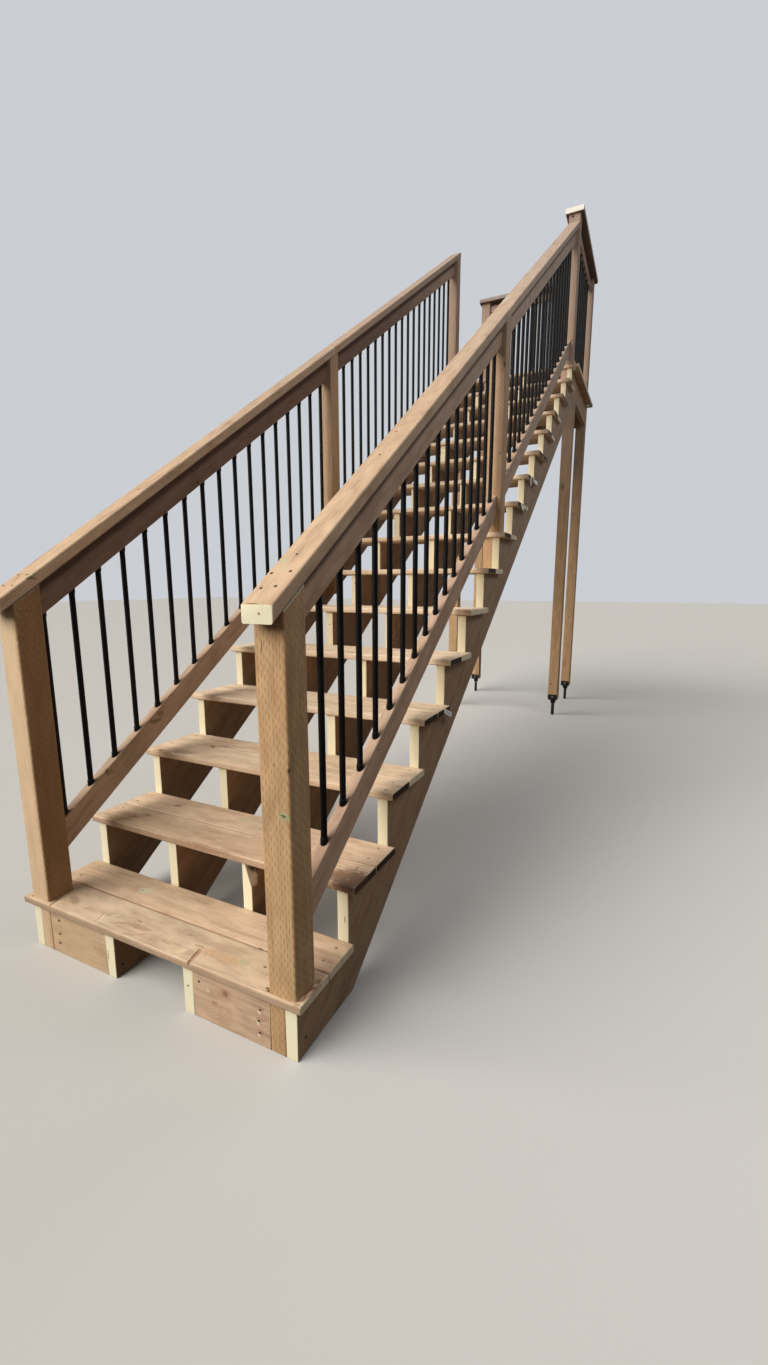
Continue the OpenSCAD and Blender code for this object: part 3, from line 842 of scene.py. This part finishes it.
# Landing deck: eight boards like those of the treads, laid with the same gap and a little weathered.
# Each is screwed down to the side rims and to both joists.
low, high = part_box("landing_deck")
board_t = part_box("guard_cap_side")[1].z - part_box("guard_cap_side")[0].z
deck_count = 8
tread_gap = 0.002
deck_board = (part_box("tread_03")[1].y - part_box("tread_03")[0].y - tread_gap) / 2
deck_pitch = (high.y - low.y - deck_board) / (deck_count - 1)
deck_rows = [low.y + deck_pitch * board + inward
             for board in range(deck_count) for inward in (screw_edge, deck_board - screw_edge)]
rim_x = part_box("landing_side_rims")[1].x - board_t / 2
joist_x = middle_of("stringer_inner_right").x
deck_places = clear_of_posts(screw_rows("deck", deck_rows, (-rim_x, -joist_x, joist_x, rim_x), high.z),
                             "top_post_right", "back_posts")
deck_wood = lumber("deck_wood", (0.68, 0.51, 0.355), (0.50, 0.335, 0.215), red=0.25, green=0.25,
                   grey=0.30)
dressed("landing_deck", "landing_deck_boards", "tread_board", deck_wood, uneven=tread_stray(15),
        bored=screwed("deck_screws", deck_places))

# Bottom blocks: short boards on edge that close the front beside the posts, screwed at their ends.
# The screws of the right one split the wood a little and tore pale chips out of it.
front_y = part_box("bottom_blocks")[0].y
block_screws = ((0.432, 0.112), (0.426, 0.076), (0.428, 0.039), (0.212, 0.120),
                (-0.421, 0.124), (-0.424, 0.074), (-0.430, 0.038))
rust_stain = (0.38, 0.16, 0.10)
# A knot with a pale one beside it, then a chip and a reddish stain at each screw.
block_marks = (
    ((0.305, front_y, 0.05), (0.022, 0.01, 0.02), 0, (0.62, 0.43, 0.3), 0.92, 0),
    ((0.31, front_y, 0.117), (0.013, 0.01, 0.011), 0, (0.17, 0.085, 0.048), 0.85, 0),
    ((0.31, front_y, 0.117), (0.034, 0.01, 0.022), 0, (0.44, 0.25, 0.16), 0.45, 0),
    ((0.268, front_y, 0.07), (0.014, 0.01, 0.01), 0, (0.38, 0.21, 0.13), 0.55, 0),
    ((0.245, front_y, 0.103), (0.01, 0.01, 0.008), 0, scrape, 0.45, 0),
    ((-0.33, front_y, 0.077), (0.18, 0.02, 0.12), 0, (0.58, 0.43, 0.245), 0.45, 0),
)
block_marks += tuple(((x - 0.004, front_y, z - 0.007), (0.006, 0.004, 0.010), 0, scrape, 0.75, 0.4)
                     for x, z in block_screws[:3])
block_marks += tuple(((x + 0.003, front_y, z + 0.004), (0.012, 0.004, 0.009), 0, rust_stain, 0.55, 0.0)
                     for x, z in block_screws[:3] + block_screws[4:])
block_wood = lumber("block_wood", (0.66, 0.475, 0.33), (0.51, 0.34, 0.225), red=0.32, green=0.20,
                    marks=block_marks)
dark_coat = speckled("dark_screw_coat", coat_wear, (0.075, 0.050, 0.034), (0.035, 0.024, 0.018), 0.50, 0.3)
block_places = [(Vector((x, front_y, z)), (0, -1, 0)) for x, z in block_screws]
dressed("bottom_blocks", "bottom_block_boards", "tread_board", block_wood,
        bored=screwed("block_screws", block_places, dark_coat))

# Posts: 89 mm square treated timber with rounded corners, halved over the outer stringers.
# The treatment was pressed in through rows of short slits, which still show.
post_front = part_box("bottom_posts")[0].y
top_knot = (0.06, 0.035, 0.03)
middle_knot = (0.13, 0.095, 0.045)
back_knot = (0.14, 0.08, 0.07)
# Knots, checks and green patches, painted shade on the inner side of the left bottom post and its pale
# front.
post_marks = (
    ((0.535, post_front, 0.688), (0.022, 0.012, 0.015), 0, (0.36, 0.44, 0.24), 0.55, 0),
    ((0.535, post_front, 0.688), (0.008, 0.012, 0.005), 0, (0.075, 0.06, 0.03), 0.75, 0.5),
    ((0.527, post_front, 0.69), (0.01, 0.012, 0.002), 0, (0.11, 0.07, 0.035), 0.6, 0.3),
    ((0.553, post_front + 0.002, 0.806), (0.005, 0.005, 0.009), 0, (0.05, 0.035, 0.02), 0.8, 0.4),
    ((0.51, post_front, 0.816), (0.003, 0.004, 0.003), 0, (0.11, 0.065, 0.03), 0.8, 0.3),
    ((0.488, post_front, 1.1), (0.0022, 0.01, 0.022), 0, (0.15, 0.085, 0.04), 0.75, 0.6),
    ((-0.464, -2.5465, 1.162), (0.008, 0.052, 0.0018), 0, (0.17, 0.1, 0.055), 0.55, 0.2),
    # Painted shade on the inner side of the left bottom post.
    ((-0.46, -2.5465, 0.65), (0.012, 0.14, 1.4), 0, (0.22, 0.115, 0.05), 0.62, 0),
    ((-0.513, post_front, 0.65), (0.06, 0.008, 1.4), 0, (0.86, 0.71, 0.52), 0.42, 0),
    ((0.5445, -0.7007, 2.322), (0.007, 0.01, 0.018), 0, middle_knot, 0.85, 0.3),
    ((0.535, -0.7007, 2.3), (0.004, 0.01, 0.01), 0, (0.16, 0.12, 0.06), 0.6, 0),
    ((0.5385, -0.7007, 1.907), (0.006, 0.01, 0.007), 0, middle_knot, 0.75, 0.3),
    ((0.553, -0.693, 1.612), (0.006, 0.01, 0.008), 0, (0.1, 0.075, 0.045), 0.75, 0.3),
    ((0.496, 1.4592, 4.128), (0.011, 0.008, 0.011), 0, (0.05, 0.03, 0.025), 0.95, 0.4),
    ((0.518, 1.4592, 3.203), (0.015, 0.006, 0.006), 0, top_knot, 0.8, 0.4),
    ((0.541, 1.4592, 3.222), (0.014, 0.006, 0.006), 0, top_knot, 0.8, 0.4),
    ((0.5395, 2.5152, 4.045), (0.01, 0.008, 0.01), 0, back_knot, 0.8, 0.3),
    ((0.5374, 2.5152, 3.774), (0.01, 0.008, 0.008), 0, back_knot, 0.8, 0.3),
    ((0.4952, 1.6842, 2.114), (0.02, 0.01, 0.04), 0, (0.12, 0.12, 0.06), 0.6, 0),
    ((0.485, 1.6842, 1.15), (0.026, 0.01, 0.08), 0, (0.32, 0.34, 0.19), 0.45, 0),
    ((0.4893, 1.6842, 0.307), (0.01, 0.01, 0.01), 0, (0.12, 0.08, 0.05), 0.7, 0.2),
    ((0.4931, 2.5152, 1.965), (0.012, 0.01, 0.01), 0, (0.14, 0.09, 0.05), 0.75, 0.2),
    ((0.5059, 2.5152, 0.895), (0.004, 0.01, 0.03), 0, (0.1, 0.06, 0.04), 0.7, 0.4),
)
post_wood = lumber("post_wood", (0.60, 0.40, 0.222), (0.45, 0.275, 0.138), red=0.12, green=0.20,
                   high_wear_and_shade=0.75, incised=0.35, marks=post_marks)
for node in ("bottom_posts", "middle_posts", "top_post_left", "top_post_right", "back_posts",
             "support_posts"):
    dressed(node, node + "_timber", "treated_post", post_wood)

# Post bases: black steel saddles on levelling nuts and screw stems, each bolted through its post.
# The bolts and the washer that lies between the nut and the thread are zinc plated and going brown.
steel, steel_spot, steel_shader = finish_of("black_steel")
scuff = steel_spot.noise((140, 140, 140), 4.0)
grit = steel_spot.noise((1500, 1500, 1500))
fed(steel_shader, {
    "Base Color": scuff.rises(0.60, 0.74).between((0.010, 0.010, 0.011), (0.060, 0.038, 0.026)),
    "Roughness": 0.42 + scuff * 0.25, "Metallic": 0.3, "Normal": grit.as_bump(0.00015, 0.8)})
fixed(smoothed_copy("post_bases", "post_base_saddles", 0.0010), "black_steel", steel, "post_bases")

bolt_zinc, zinc_spot, zinc_shader = finish_of("bolt_zinc")
bloom = zinc_spot.noise((380, 380, 380), 3.0)
fed(zinc_shader, {"Base Color": bloom.rises(0.35, 0.65).between((0.30, 0.27, 0.23), (0.21, 0.13, 0.08)),
                  "Roughness": 0.35 + bloom * 0.3, "Metallic": 0.7})

post_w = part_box("bottom_posts")[1].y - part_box("bottom_posts")[0].y
support_low, support_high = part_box("support_posts")
base_low, base_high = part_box("post_bases")
stem_r = 0.014
stem_top = 0.119
washer_r = 0.023
washer_t = 0.003
thread_pitch = 0.0035
thread_r = 0.0013
turn_steps = 16
bolt_head_r = 0.0075
bolt_head_t = 0.0055
bolt_head_z = 0.0042
bolt_washer_r = 0.011
bolt_washer_t = 0.0016
bolt_z = (support_low.z + base_high.z) / 2
base_spots = [(side * (support_high.x - post_w / 2), y)
              for side in (-1, 1) for y in (support_low.y + post_w / 2, support_high.y - post_w / 2)]

bolt_head = started(bpy.ops.mesh.primitive_cylinder_add, vertices=6, radius=bolt_head_r, depth=bolt_head_t,
                    location=(0, 0, bolt_head_z))
bolt_washer = started(bpy.ops.mesh.primitive_cylinder_add, vertices=20, radius=bolt_washer_r,
                      depth=bolt_washer_t, location=(0, 0, bolt_washer_t / 2))
bolt_model = joined([bolt_head, bolt_washer])
eased(0.0005)
saddle_out = post_w / 2 + (support_low.y - base_low.y)
bolt_places = [((x, y + side * saddle_out, bolt_z), (0, side, 0)) for x, y in base_spots for side in (-1, 1)]
fixed(copied_to(bolt_model, "post_base_bolts", bolt_places), "black_steel", bolt_zinc)

washer_model = started(bpy.ops.mesh.primitive_cylinder_add, vertices=32, radius=washer_r, depth=washer_t,
                       location=(0, 0, stem_top - washer_t / 2))
eased(0.0006, 2)
upright_spots = [((x, y, 0), (0, 0, 1)) for x, y in base_spots]
fixed(copied_to(washer_model, "post_base_washers", upright_spots), "black_steel", bolt_zinc)

thread_model = started(bpy.ops.mesh.primitive_circle_add, vertices=3, radius=thread_r, fill_type="NGON",
                       rotation=(math.pi / 2, 0, 0), location=(stem_r, 0, 2 * thread_pitch))
thread = thread_model.modifiers.new("thread", "SCREW")
thread.axis = "Z"
thread.screw_offset = thread_pitch
thread.iterations = int((stem_top - washer_t) / thread_pitch) - 3
thread.steps = turn_steps
thread.render_steps = turn_steps
bpy.ops.object.modifier_apply(modifier=thread.name)
bpy.ops.object.mode_set(mode="EDIT")
bpy.ops.mesh.select_all(action="SELECT")
bpy.ops.mesh.remove_doubles(threshold=weld / 2)
bpy.ops.mesh.normals_make_consistent(inside=False)
bpy.ops.object.mode_set(mode="OBJECT")
fixed(copied_to(thread_model, "post_base_threads", upright_spots), "black_steel", steel)

# Caps: flat boards that lie on the posts and the rails, in two lengths along each side of the flight.
# They are screwed down through the top, and their lower ends show fresh wood.
cap_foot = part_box("stair_cap_right")[0]
cap_knot = (0.30, 0.135, 0.070)
# Green patches and knots, splits in the front end, and painted shade on the inner side of the left cap.
cap_marks = (
    ((0.484, -2.4902, 1.2995), (0.018, 0.016, 0.016), 0, (0.5, 0.54, 0.32), 0.6, 0),
    ((0.5, -2.52, 1.2785), (0.03, 0.03, 0.03), 0, (0.62, 0.53, 0.33), 0.35, 0),
    ((0.474, -0.466, 2.727), (0.018, 0.11, 0.085), 0, (0.5, 0.53, 0.38), 0.6, 0),
    ((0.4926, -1.864, 1.7413), (0.009, 0.008, 0.008), 0, cap_knot, 0.75, 0.2),
    ((0.4919, -1.9091, 1.7094), (0.004, 0.004, 0.005), 0, cap_knot, 0.7, 0.2),
    ((0.516, -2.6298, 1.179), (0.004, 0.01, 0.004), 0, (0.2, 0.11, 0.05), 0.8, 0.4),
    ((0.498, -2.629, 1.2015), (0.02, 0.008, 0.002), 0, (0.22, 0.1, 0.05), 0.75, 0.5),
    ((-0.4767, -2.5266, 1.2738), (0.02, 0.03, 0.024), 0, (0.45, 0.46, 0.26), 0.45, 0),
    ((-0.464, -2.5268, 1.264), (0.01, 0.022, 0.006), 0, (0.1, 0.075, 0.045), 0.6, 0.3),
    # Painted shade along the inner side of the left cap.
    ((-0.432, -1.8, 1.76), (0.016, 4, 4), 0, (0.19, 0.125, 0.09), 0.42, 0),
)
cap_wood = lumber("cap_wood", (0.72, 0.52, 0.350), (0.56, 0.375, 0.235), red=0.34, green=0.20,
                  high_wear_and_shade=0.72, shaded=0.80, marks=cap_marks)
cap_out = Vector((0, -math.sin(pitch), math.cos(pitch)))


def on_cap(x, y):
    """The place on the sloping top of the caps over x and y, and the way out of the wood."""
    rise = math.tan(pitch) * (y - cap_foot.y)
    return Vector((x, y, cap_foot.z + board_t / math.cos(pitch) + rise)), cap_out


cap_post_ys = [middle_of(post).y for post in ("bottom_posts", "middle_posts", "top_post_left")]
rail_screw_step = 0.5
known_cap_screws = [(0.4855, -2.5813), (0.5227, -2.5749), (0.4794, -2.5319), (0.5299, -2.5259),
                    (0.5070, -2.4659), (0.5066, -2.0098), (0.4802, -1.5989)]

# The lowest screws of the right side are known. The others stand four to a post and singly on the rails.
luck = random.Random("cap screws")
for side_name, side, spots, first_post, first_single in (("right", 1, known_cap_screws, 1, 3),
                                                         ("left", -1, [], 0, 1)):
    post_x = side * (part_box("bottom_posts")[1].x - post_w / 2)
    for post_y in cap_post_ys[first_post:]:
        spots = spots + [(post_x + across, post_y + along)
                         for across in (-0.024, 0.022) for along in (-0.026, 0.022)]
    rail_ys = [cap_post_ys[0] + rail_screw_step * number for number in range(first_single, 8)]
    spots = spots + [(post_x + luck.uniform(-0.004, 0.004), y + luck.uniform(-0.04, 0.04)) for y in rail_ys]
    end_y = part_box("stair_cap_" + side_name)[1].y
    places = [on_cap(x, y) for x, y in spots if y < end_y - 0.02]
    dressed("stair_cap_" + side_name, f"stair_cap_{side_name}_boards", "cap_board", cap_wood, tilt=pitch,
            bored=screwed(f"stair_cap_screws_{side_name}", places, dark_coat))

# Guard caps: the same boards laid level on the guard of the landing, one at its side and one at its back.
# They have weathered more, and the front end of the side one has gone white.
guard_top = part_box("guard_cap_side")[1]
guard_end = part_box("guard_cap_side")[0].y
back_y = middle_of("guard_cap_back").y
side_x = middle_of("guard_cap_side").x
guard_marks = (((side_x, guard_end, guard_top.z - board_t / 2), (0.20, 0.010, 0.08), 0,
                (0.97, 0.92, 0.86), 0.80, 0.0),)
guard_wood = lumber("guard_wood", (0.42, 0.345, 0.325), (0.30, 0.24, 0.225), red=0.06, green=0.05,
                    grey=0.20, shaded=0.70, marks=guard_marks)
screw_across = 0.024
side_places = [(Vector((side_x + across, y, guard_top.z)), (0, 0, 1))
               for y in (cap_post_ys[2], cap_post_ys[2] + rail_screw_step, back_y)
               for across in (-screw_across, screw_across)]
back_places = [(Vector((x, back_y + across, guard_top.z)), (0, 0, 1))
               for x in (-side_x, 0.0, side_x - 0.12) for across in (-screw_across, screw_across)]
for place, places in (("side", side_places), ("back", back_places)):
    dressed("guard_cap_" + place, f"guard_cap_{place}_board", "cap_board", guard_wood,
            bored=screwed(f"guard_cap_screws_{place}", places, dark_coat))

# Rails: boards on edge between the posts, one under each cap and one below that carries the balusters.
# Their ends are cut plumb against the posts.
left_inside = (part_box("stair_sub_rail_left")[1].x, -1.8, 1.95)
upper_dark_patch = (0.15, 0.11, 0.09)
# Knots and dark patches. The inside of the left rail under its cap lies in shade, as left_shade shows.
rail_marks = (
    ((-0.489, -2.3138, 0.56), (0.01, 0.007, 0.03), 0, (0.13, 0.075, 0.045), 0.65, 0.3),
    ((-0.489, -2.3, 0.548), (0.02, 0.02, 0.012), 0, (0.3, 0.17, 0.11), 0.45, 0),
    ((-0.489, -2.08, 0.695), (0.01, 0.04, 0.01), 0, (0.12, 0.085, 0.05), 0.6, 0.3),
    ((-0.489, -2.05, 0.72), (0.01, 0.02, 0.016), 0, (0.15, 0.12, 0.06), 0.5, 0),
    ((0.5275, -2.1298, 0.7558), (0.012, 0.011, 0.009), 0, (0.16, 0.075, 0.04), 0.75, 0.3),
    ((0.5275, -2.0653, 0.708), (0.008, 0.006, 0.006), 0, (0.13, 0.065, 0.035), 0.75, 0.3),
    ((0.5275, 0.1878, 3.1332), (0.006, 0.026, 0.026), 0, upper_dark_patch, 0.5, 0),
    ((0.5275, -0.11, 2.8762), (0.006, 0.02, 0.022), 0, upper_dark_patch, 0.45, 0),
    ((0.5275, -0.0508, 2.9933), (0.006, 0.022, 0.018), 0, upper_dark_patch, 0.45, 0),
    ((0.5275, -0.3201, 2.7304), (0.006, 0.014, 0.012), 0, upper_dark_patch, 0.4, 0),
)
left_shade = ((left_inside, (0.014, 4, 4), 0, (0.075, 0.038, 0.028), 0.7, 0),)
for row, cap_shadow, shade in (("sub", 0.80, left_shade), ("bottom", 0.0, ())):
    rail_wood = lumber(f"{row}_rail_wood", (0.60, 0.42, 0.31), (0.44, 0.285, 0.195), red=0.28,
                       green=0.22, high_wear_and_shade=0.45, cap_shadow=cap_shadow, marks=rail_marks + shade)
    for side in ("left", "right"):
        rail = f"stair_{row}_rail_{side}"
        dressed(rail, rail + "_boards", "rail_board", rail_wood, tilt=pitch)
    dressed(f"guard_{row}_rails", f"guard_{row}_rail_boards", "rail_board", rail_wood)

# Balusters: round steel tubes, powder coated black, each pushed over a collar at both ends.
# The collars are cut to the slope of the rails and screwed to them.
baluster_coat, powder_spot, powder_shader = finish_of("baluster_coat")
orange_peel = powder_spot.noise((1100, 1100, 1100))
dust = powder_spot.noise((30, 30, 12), 3.0)
fed(powder_shader, {
    "Base Color": dust.rises(0.52, 0.80).between((0.0030, 0.0030, 0.0034), (0.012, 0.0115, 0.011)),
    "Roughness": 0.44 + dust * 0.16, "Normal": orange_peel.as_bump(0.0001, 0.7), "Specular IOR Level": 0.22})
collar_ease = 0.0009
for node in ("stair_balusters_left", "stair_balusters_right", "guard_balusters"):
    fixed(smoothed_copy(node, node + "_tubes", collar_ease), "black_baluster", baluster_coat, node)

# Tags: white end tags of the lumber, a strip of plastic stapled to the ends of a few tread boards.
# They have come loose and curled, and what was printed on them is a grey blur.
tag_white, tag_spot, tag_shader = finish_of("tag_white")
crease = tag_spot.noise((90, 90, 90), 3.0)
on_tag = tag_spot.node("TexCoord", out="UV")
off_length = abs(on_tag.along("X") - 0.5) * 1.25
off_middle = tag_spot.maths("MAXIMUM", off_length, abs(on_tag.along("Y") - 0.5) * 1.6)
blur = (1 - off_middle.rises(0.30, 0.42)) * on_tag.noise((9, 5, 0)).rises(0.46, 0.58)
fed(tag_shader, {"Base Color": (blur * 0.66).between((0.95, 0.94, 0.93), (0.13, 0.13, 0.15)),
                 "Roughness": 0.40 + crease * 0.2})
tag_t = 0.0004
stood_up = Matrix(((0, 0, 1, 0), (1, 0, 0, 0), (0, 1, 0, 0), (0, 0, 0, 1)))
# Each tag by its tread, place, length, height, turn, lean and curl in degrees.
tag_places = (
    ("tread_04", -1.5378, 0.726, 0.102, 0.021, -0.375, 0.12, 8),
    ("tread_09", -0.332, 1.684, 0.074, 0.028, -0.3, 0.15, 12),
    ("tread_10", -0.1, 1.864, 0.052, 0.022, 1.48, 0.1, 8),
    ("tread_10", 0.056, 1.88, 0.085, 0.024, 0.03, 0.12, 6),
)
for number, (node, y, z, length, height, turn, lean, curl_by) in enumerate(tag_places):
    boards = bpy.data.objects[node.replace("tread", "tread_boards")]
    end_x = max(v.co.x for v in boards.data.vertices if abs(v.co.y - y) < 0.1)
    tag = started(bpy.ops.mesh.primitive_grid_add, x_subdivisions=10, y_subdivisions=3, size=1)
    tag.name = f"tread_tag_{number + 1}"
    bpy.ops.transform.resize(value=(length, height, 1))
    bpy.ops.object.transform_apply(scale=True)
    curl = tag.modifiers.new("curl", "SIMPLE_DEFORM")
    curl.deform_method = "BEND"
    curl.deform_axis = "Y"
    curl.angle = math.radians(curl_by)
    sheet = tag.modifiers.new("sheet", "SOLIDIFY")
    sheet.thickness = tag_t
    bpy.ops.object.modifier_apply(modifier=curl.name)
    bpy.ops.object.modifier_apply(modifier=sheet.name)
    tag.data.transform(stood_up @ Matrix.Rotation(turn, 4, "Z") @ Matrix.Rotation(-lean, 4, "X"))
    lowest = min(v.co.x for v in tag.data.vertices)
    tag.data.transform(Matrix.Translation((end_x - lowest, y, z)))
    bpy.ops.object.shade_smooth_by_angle(angle=smooth_below)
    fixed(tag, "tread_board", tag_white)

# The shapes of the holes and the models that the small pieces were copied from are no part of the stair.
hole_shapes = [piece for piece in bpy.data.objects if piece.name.endswith("_holes")]
for model in hole_shapes + [screw_model, hole_model, bolt_model, washer_model, thread_model]:
    bpy.data.objects.remove(model)
